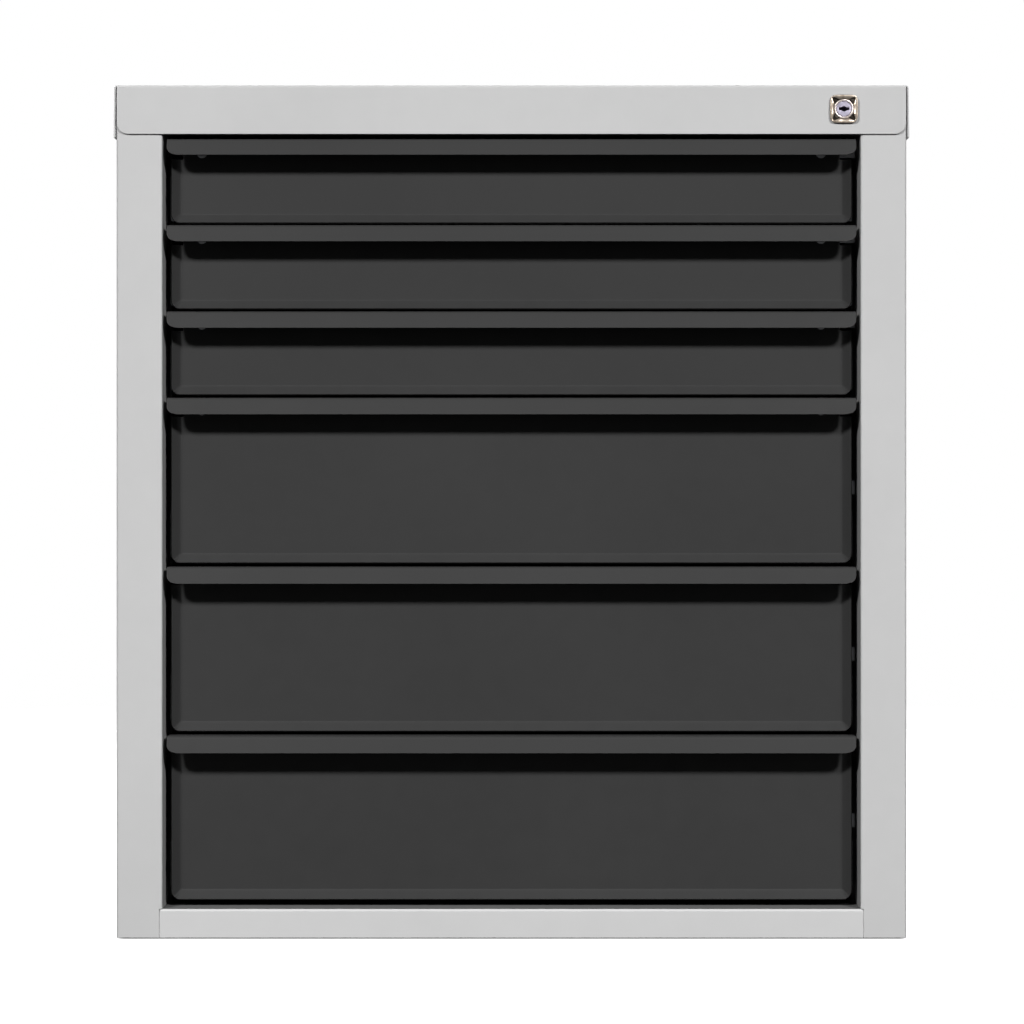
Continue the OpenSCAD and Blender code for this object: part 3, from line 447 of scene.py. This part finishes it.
def lip_patches(join_z, top):
    """The right half of the lip: its folded line in depth and height carried along x, with an elliptical
    round at its lower outer corner. Its rear fold down to the pan's top row is only as wide as the pan's
    flat middle."""
    middle = top - front_sheet / 2
    line = folded([
        (front_y + panel_depth, join_z),
        (front_y + panel_depth, middle),
        (front_y + lip_fold_depth, middle),
        (front_y + lip_edge_depth, top - lip_height),
    ], front_fold)
    last_run = line[-1] - line[-2]
    length = np.linalg.norm(last_run)
    steps = 1 - lip_corner_z / length * np.cos(np.linspace(0, 1, 10) * math.pi / 2)[:-1]
    line = np.vstack([line[:-1], line[-2] + steps[:, None] * last_run, line[-1:]])
    from_edge = np.linalg.norm(line - line[-1], axis=1)
    from_edge[line[:, 0] > front_y + lip_fold_depth] = lip_corner_z
    left = 1 - np.clip(from_edge, 0, lip_corner_z) / lip_corner_z
    inset = lip_corner_x * (1 - np.sqrt(1 - left ** 2))
    end = half_lip - inset[:, None] - flat_columns[-1]
    x = np.hstack([np.broadcast_to(flat_columns, (len(line), len(flat_columns))),
                   flat_columns[-1] + np.array([[0.4, 0.7, 1.0]]) * end])
    points = np.stack(np.broadcast_arrays(x, line[:, :1], line[:, 1:]), axis=-1)
    keep = np.ones((x.shape[0] - 1, x.shape[1] - 1), bool)
    in_rear_fold = line[1:, 0] > front_y + panel_depth - front_fold
    keep[in_rear_fold, len(flat_columns) - 1:] = False
    return [(points, keep)]


for n in drawers:
    low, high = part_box(f"drawer_{n}_front")
    join_z = high.z - lip_height - front_sheet
    patches = mirrored([pan_patch(low.z, join_z)] + lip_patches(join_z, high.z))
    front = sheet_piece(f"drawer_{n}_pan_and_lip", patches, front_sheet, drawer_coat, f"drawer_{n}")
    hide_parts(f"drawer_{n}_front")
    nodes[f"drawer_{n}_box"].data.materials.clear()
    nodes[f"drawer_{n}_box"].data.materials.append(drawer_coat)


# ---------------------------------------------------------------- slides
# Three rolled steel rails on each side of a drawer, one held in the next. Bright zinc plate, drawn along
# the rail.

def plated_steel(name, light_hex, dark_hex, roughness, grain):
    """Zinc plated sheet: soft metal gloss, drawn out along the depth, with the faint patches of the
    plating."""
    material, tree, place, output = new_material(name)
    streak_length, patch_size, streak_height = 60 * MM, 7 * MM, 0.02 * MM
    drawn = add(tree, "ShaderNodeMapping", {
        "Vector": place, "Scale": (1 / grain, 1 / streak_length, 1 / grain)})
    streak = add(tree, "ShaderNodeTexNoise", {"Vector": drawn.outputs[0], "Scale": 1.0, "Detail": 3.0})
    patch = add(tree, "ShaderNodeTexVoronoi", {"Vector": place, "Scale": 1 / patch_size})
    tone = add(tree, "ShaderNodeMath", {0: patch.outputs["Distance"], 1: 0.5, 2: streak.outputs["Fac"]},
               operation="MULTIPLY_ADD")
    colour = add(tree, "ShaderNodeValToRGB", {"Fac": tone.outputs[0]})
    colour.color_ramp.elements[0].position = 0.35
    colour.color_ramp.elements[0].color = linear(dark_hex)
    colour.color_ramp.elements[1].position = 0.95
    colour.color_ramp.elements[1].color = linear(light_hex)
    gloss = add(tree, "ShaderNodeMapRange", {
        "Value": streak.outputs["Fac"], "From Min": 0.3, "From Max": 0.7,
        "To Min": roughness - 0.07, "To Max": roughness + 0.07})
    bump = add(tree, "ShaderNodeBump", {
        "Height": streak.outputs["Fac"], "Strength": 0.2, "Distance": streak_height})
    metal = add(tree, "ShaderNodeBsdfPrincipled", {
        "Base Color": colour.outputs["Color"], "Roughness": gloss.outputs[0],
        "Normal": bump.outputs[0], "Metallic": 1.0})
    tree.links.new(metal.outputs[0], output.inputs["Surface"])
    return material


# Cool silver with fine streaks along the rail
slide_plate = plated_steel("bright zinc plated slide", "#d4d7da", "#b9bdc2", roughness=0.34, grain=0.6 * MM)
for n in drawers:
    for rails in ("cabinet_rails", "middle_rails", "inner_rails"):
        nodes[f"drawer_{n}_{rails}"].data.materials.clear()
        nodes[f"drawer_{n}_{rails}"].data.materials.append(slide_plate)


# ---------------------------------------------------------------- fasteners and locking bar
# Zinc plated steel: the screws of the slides, the rivets, the cover's nuts, the bar that locks the drawers
# with its guide studs, and the crank that moves it.

# A duller silver than the slides'
fastener_plate = plated_steel("zinc plated fastener", "#cfd0d2", "#aeb1b5", roughness=0.38, grain=0.8 * MM)
for node in ("rail_screws", "back_rivets", "cover_nuts", "lock_nut", "lock_crank", "crank_screw",
             "bar_guide_studs", "locking_bar", *[f"drawer_{n}_rivets" for n in drawers]):
    nodes[node].data.materials.clear()
    nodes[node].data.materials.append(fastener_plate)


# ---------------------------------------------------------------- lock
# A cylinder lock: a pillow-shaped die-cast bezel with a square dish, the round housing standing in it, and
# the plug with its key slot. Polished and nickel plated.

def nickel(name, light_hex, dark_hex, roughness, dish_shade):
    """Nickel plated die casting: bright and slightly warm, with faint ripples left by polishing. Below the
    bezel's face the colour is darkened by the factor given, as painted shade in the dish."""
    material, tree, place, output = new_material(name)
    ripple_size, ripple_height = 2.5 * MM, 0.05 * MM
    dish_shade_start, dish_shade_end = bezel_low.y + 0.4 * MM, bezel_low.y + 1.2 * MM
    ripple = add(tree, "ShaderNodeTexNoise", {"Vector": place, "Scale": 1 / ripple_size, "Detail": 2.0})
    colour = add(tree, "ShaderNodeValToRGB", {"Fac": ripple.outputs["Fac"]})
    colour.color_ramp.elements[0].position = 0.3
    colour.color_ramp.elements[0].color = linear(dark_hex)
    colour.color_ramp.elements[1].position = 0.7
    colour.color_ramp.elements[1].color = linear(light_hex)
    gloss = add(tree, "ShaderNodeMapRange", {
        "Value": ripple.outputs["Fac"], "From Min": 0.3, "From Max": 0.7,
        "To Min": roughness - 0.03, "To Max": roughness + 0.04})
    bump = add(tree, "ShaderNodeBump", {
        "Height": ripple.outputs["Fac"], "Strength": 0.15, "Distance": ripple_height})
    place_xyz = add(tree, "ShaderNodeSeparateXYZ", {0: place})
    # Painted shade: below the bezel's face the colour is multiplied by the factor given
    dish_darkening = add(tree, "ShaderNodeMapRange", {
        "Value": place_xyz.outputs["Y"], "From Min": dish_shade_start, "From Max": dish_shade_end,
        "To Min": 1.0, "To Max": dish_shade})
    polished_with_dish_shade = add(tree, "ShaderNodeVectorMath", {0: colour.outputs["Color"], 1: dish_darkening.outputs[0]},
                   operation="MULTIPLY")
    metal = add(tree, "ShaderNodeBsdfPrincipled", {
        "Base Color": polished_with_dish_shade.outputs[0], "Roughness": gloss.outputs[0],
        "Normal": bump.outputs[0], "Metallic": 1.0})
    tree.links.new(metal.outputs[0], output.inputs["Surface"])
    return material


bezel_low, bezel_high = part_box("lock_bezel")
# The bezel: warm and bright on its face, with painted shade that makes it nearly black down in the dish
bezel_nickel = nickel("polished nickel plate", "#dccfc0", "#bfae9c", roughness=0.36, dish_shade=0.08)
# The housing: the brightest line of the lock, round the plug
ring_nickel = nickel("bright nickel plate", "#f2e9e4", "#ddd0c8", roughness=0.42, dish_shade=1.0)
# The plug: cooler and duller than what is round it
plug_nickel = nickel("satin nickel plate", "#c6c1d0", "#aaa5b8", roughness=0.46, dish_shade=1.0)

plug_low, plug_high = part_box("lock_plug")
bezel_face, bezel_back = bezel_low.y, bezel_high.y
bezel_half_x, bezel_half_z = 10.2 * MM, 10.3 * MM
dish_corner = 4.1 * MM
ring_radius, plug_radius = 7.2 * MM, 5.65 * MM
slot_half, slot_high = 3.65 * MM, 1.0 * MM
eye_half, eye_high = 3.0 * MM, 2.0 * MM
slot_depth = 18 * MM
bezel_squareness, eye_squareness = 5.2, 1.4
slot_corner = math.atan2(slot_high, slot_half)
angles = np.unique(np.concatenate([np.linspace(0, 2 * math.pi, 145),
                                   [slot_corner, math.pi - slot_corner, math.pi + slot_corner,
                                    2 * math.pi - slot_corner]]))


def rounded_square(half_x, half_z, power):
    """The distance from the axis to a superellipse, for every angle: the higher the power, the squarer it
    is."""
    across, up = np.abs(np.cos(angles) / half_x), np.abs(np.sin(angles) / half_z)
    return (across ** power + up ** power) ** (-1 / power)


def around_lock(rows):
    """A grid round the lock's axis. Each row is a distance from the axis, one for all angles or one for
    each, and a depth."""
    radius = np.stack([np.broadcast_to(distance, angles.shape) for distance, depth in rows])
    depth = np.array([depth for distance, depth in rows])[:, None]
    points = np.broadcast_arrays(lock_x + radius * np.cos(angles), depth, lock_z + radius * np.sin(angles))
    return whole(np.stack(points, axis=-1))


# The bezel: a square with bulging sides, its edge rolled over, and a dish that is deep in its four corners
outline = rounded_square(bezel_half_x, bezel_half_z, bezel_squareness)
housing_gap, rim_gap, corner_sharpness = 0.1 * MM, 0.3 * MM, 11
dish_rim = ring_radius + rim_gap + dish_corner * np.abs(np.sin(2 * angles)) ** corner_sharpness
roll = np.linspace(0, 1, 6)[1:] * math.pi / 2
roll_depth, roll_in = 0.9 * MM, 0.6 * MM
rim_high, rim_low, rim_in = 0.05 * MM, 0.35 * MM, 0.15 * MM
bezel_rows = [(outline, bezel_back)]
bezel_rows += [(outline - roll_in * (1 - math.cos(angle)), bezel_face + roll_depth * (1 - math.sin(angle)))
               for angle in roll]
bezel_rows += [(dish_rim, bezel_face + rim_high), (dish_rim - rim_in, bezel_face + rim_low)]
dish_fall, dish_rise = 1.3 * MM, 0.2
for share in (0, 0.25, 0.5, 0.75, 1.0):
    inward = dish_rim - rim_in + share * (ring_radius + housing_gap - dish_rim + rim_in)
    bezel_rows.append((inward, bezel_face + rim_low + dish_fall * (1 - dish_rise * share)))
bezel_rows.append((ring_radius + housing_gap, bezel_back))
bezel = mesh_piece("pillow_bezel", [around_lock(bezel_rows)], bezel_nickel, "casing")
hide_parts("lock_bezel")

# The housing: a tube whose front edge is rounded on both sides
plug_gap, nose_height, nose_fullness = 0.06 * MM, 0.45 * MM, 0.7
ring_wall = np.array([plug_radius + plug_gap, ring_radius])
nose = np.linspace(0, 1, 7) * math.pi
nose_radius = ring_wall.mean() - np.cos(nose) * np.diff(ring_wall) / 2
nose_depth = lock_low.y + nose_height * (1 - np.sin(nose) ** nose_fullness)
ring_rows = [(ring_wall[0], lock_high.y), *zip(nose_radius, nose_depth), (ring_wall[1], lock_high.y),
             (ring_wall[0], lock_high.y)]
ring = mesh_piece("rounded_housing", [around_lock(ring_rows)], ring_nickel, "casing")
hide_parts("lock_housing")

# The plug: a bar with a chamfered face, and the key slot cut into it, widened in the middle to an eye
along_slot, up_slot = np.abs(np.cos(angles)), np.abs(np.sin(angles))
slot = np.minimum(slot_half / np.maximum(along_slot, tiny), slot_high / np.maximum(up_slot, tiny))
slot = np.maximum(slot, rounded_square(eye_half, eye_high, eye_squareness))
plug_face = plug_low.y
tail, chamfer = 3 * MM, 0.35 * MM
tail_start = lock_high.y + 0.3 * MM
plug_rows = [
    (0, plug_high.y), (tail, plug_high.y), (tail, tail_start), (plug_radius, tail_start),
    (plug_radius, plug_face + chamfer), (plug_radius - chamfer, plug_face), (slot, plug_face),
    (slot, plug_face + slot_depth), (0, plug_face + slot_depth),
]
plug = mesh_piece("slotted_plug", [around_lock(plug_rows)], plug_nickel, "lock_plug_and_crank")
round_edges(plug, width=0.05 * MM)
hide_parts("lock_plug")


# ---------------------------------------------------------------- studio
# A pale floor, two soft boxes in front at the left and right, others behind and above, and a white room. The
# floor's own bounce is kept off the cabinet, and the floor fades into the room a little way out.

floor_half = 6.0
floor_mesh = bpy.data.meshes.new("floor")
floor_mesh.from_pydata([(-floor_half, -floor_half, 0), (floor_half, -floor_half, 0),
                        (floor_half, floor_half, 0), (-floor_half, floor_half, 0)], [], [(0, 1, 2, 3)])
floor = bpy.data.objects.new("floor", floor_mesh)
bpy.context.scene.collection.objects.link(floor)
floor_material, floor_tree, floor_place, floor_output = new_material("pale studio floor")
mottle = add(floor_tree, "ShaderNodeTexNoise", {"Vector": floor_place, "Scale": 3.0})
floor_shade = add(floor_tree, "ShaderNodeMapRange", {
    "Value": mottle.outputs["Fac"], "From Min": 0.3, "From Max": 0.7, "To Min": 0.90, "To Max": 0.93})

# The line of shade where the cabinet stands on the floor, by how far a point lies outside the cabinet's
# outline
shade_start, shade_end, side_shade = 1 * MM, 9 * MM, 7 * MM
off_middle = add(floor_tree, "ShaderNodeVectorMath", {0: floor_place}, operation="ABSOLUTE")
off_outline = add(floor_tree, "ShaderNodeVectorMath", {
    0: off_middle.outputs[0], 1: (wall_x - side_shade, -front_y, 1.0)}, operation="SUBTRACT")
off_xyz = add(floor_tree, "ShaderNodeSeparateXYZ", {0: off_outline.outputs[0]})
outside = add(floor_tree, "ShaderNodeMath", {0: off_xyz.outputs["X"], 1: off_xyz.outputs["Y"]},
              operation="MAXIMUM")
contact = add(floor_tree, "ShaderNodeMapRange", {
    "Value": outside.outputs[0], "From Min": shade_start, "From Max": shade_end,
    "To Min": 0.06, "To Max": 1.0})
seen_by = add(floor_tree, "ShaderNodeLightPath")
glow = add(floor_tree, "ShaderNodeMath", {0: seen_by.outputs["Is Camera Ray"], 1: 0.7}, operation="MULTIPLY")
shaded_glow = add(floor_tree, "ShaderNodeMath", {0: glow.outputs[0], 1: contact.outputs[0]},
                  operation="MULTIPLY")
shaded_paint = add(floor_tree, "ShaderNodeMath", {0: floor_shade.outputs[0], 1: contact.outputs[0]},
                   operation="MULTIPLY")
floor_paint = add(floor_tree, "ShaderNodeBsdfPrincipled", {
    "Base Color": shaded_paint.outputs[0], "Roughness": 0.9, "Emission Color": linear("#ffffff"),
    "Emission Strength": shaded_glow.outputs[0]})
fade_start, fade_end = 0.45, 2.2
away = add(floor_tree, "ShaderNodeVectorMath", {0: floor_place}, operation="LENGTH")
fade = add(floor_tree, "ShaderNodeMapRange", {
    "Value": away.outputs["Value"], "From Min": fade_start, "From Max": fade_end})
nothing = add(floor_tree, "ShaderNodeBsdfTransparent")
floor_mix = add(floor_tree, "ShaderNodeMixShader", {0: fade.outputs[0], 1: floor_paint.outputs[0],
                                                    2: nothing.outputs[0]})
floor_tree.links.new(floor_mix.outputs[0], floor_output.inputs["Surface"])
floor_mesh.materials.append(floor_material)
floor.visible_diffuse = False
floor.visible_glossy = False


def soft_box(name, place, aim, breadth, power, mirrored=True):
    """A round soft box: a disc lamp at a place, turned to what it lights. Its breadth sets how soft the
    shadows are, and mirrored whether it shows in reflections. Its light doesn't fall off with distance,
    like a lamp feathered downwards, so the cabinet's foot is nearly as bright as its head. Its power is
    what a plain lamp needs for the same light at the aim."""
    data = bpy.data.lights.new(name, "AREA")
    data.shape = "DISK"
    data.size = breadth
    data.energy = power / (Vector(place) - Vector(aim)).length_squared
    data.use_nodes = True
    lamp = data.node_tree
    feathered = add(lamp, "ShaderNodeLightFalloff", {"Strength": 1.0})
    lamp.links.new(feathered.outputs["Constant"], lamp.nodes["Emission"].inputs["Strength"])
    light = bpy.data.objects.new(name, data)
    light.location = place
    light.rotation_mode = "QUATERNION"
    light.rotation_quaternion = (Vector(place) - Vector(aim)).to_track_quat("Z", "Y")
    light.visible_glossy = mirrored
    bpy.context.scene.collection.objects.link(light)


middle = (0.0, front_y, 0.31)
key_x, key_y, key_z = 1.25, front_y - 1.77, 1.59
below_foot = (0.0, front_y, -0.35)
back_x, back_y, back_z = 2.2, 2.6, 2.2
for side, turn in (("left", -1), ("right", 1)):
    soft_box(f"key {side}", (turn * key_x, key_y, key_z), below_foot, breadth=0.30, power=51)
for side, turn in (("left", -1), ("right", 1)):
    soft_box(f"back {side}", (turn * back_x, back_y, back_z), middle, breadth=1.2, power=100, mirrored=False)
soft_box("above", (0, 0.6, 3.0), middle, breadth=1.0, power=8, mirrored=False)

world = bpy.data.worlds.new("white room")
world.use_nodes = True
room = world.node_tree
room.nodes.clear()
seen = add(room, "ShaderNodeBackground", {"Color": (1, 1, 1, 1), "Strength": 1.0})
path = add(room, "ShaderNodeLightPath")
mirrored_walls = add(room, "ShaderNodeMapRange", {
    "Value": path.outputs["Is Glossy Ray"], "To Min": 0.02, "To Max": 0.2})
fill = add(room, "ShaderNodeBackground", {"Color": (1, 1, 1, 1), "Strength": mirrored_walls.outputs[0]})
mixed = add(room, "ShaderNodeMixShader", {
    0: path.outputs["Is Camera Ray"], 1: fill.outputs[0], 2: seen.outputs[0]})
add(room, "ShaderNodeOutputWorld", {"Surface": mixed.outputs[0]})
bpy.context.scene.world = world
bpy.context.scene.view_settings.view_transform = "Standard"

camera_x, camera_distance, camera_height = 0.0004, 2.0, 0.311
camera_data = bpy.data.cameras.new("camera")
camera_data.sensor_width = 36
camera_data.lens = 96.3
camera = bpy.data.objects.new("camera", camera_data)
camera.location = (camera_x, front_y - camera_distance, camera_height)
camera.rotation_euler = (math.pi / 2, 0, 0)
bpy.context.scene.collection.objects.link(camera)
bpy.context.scene.camera = camera
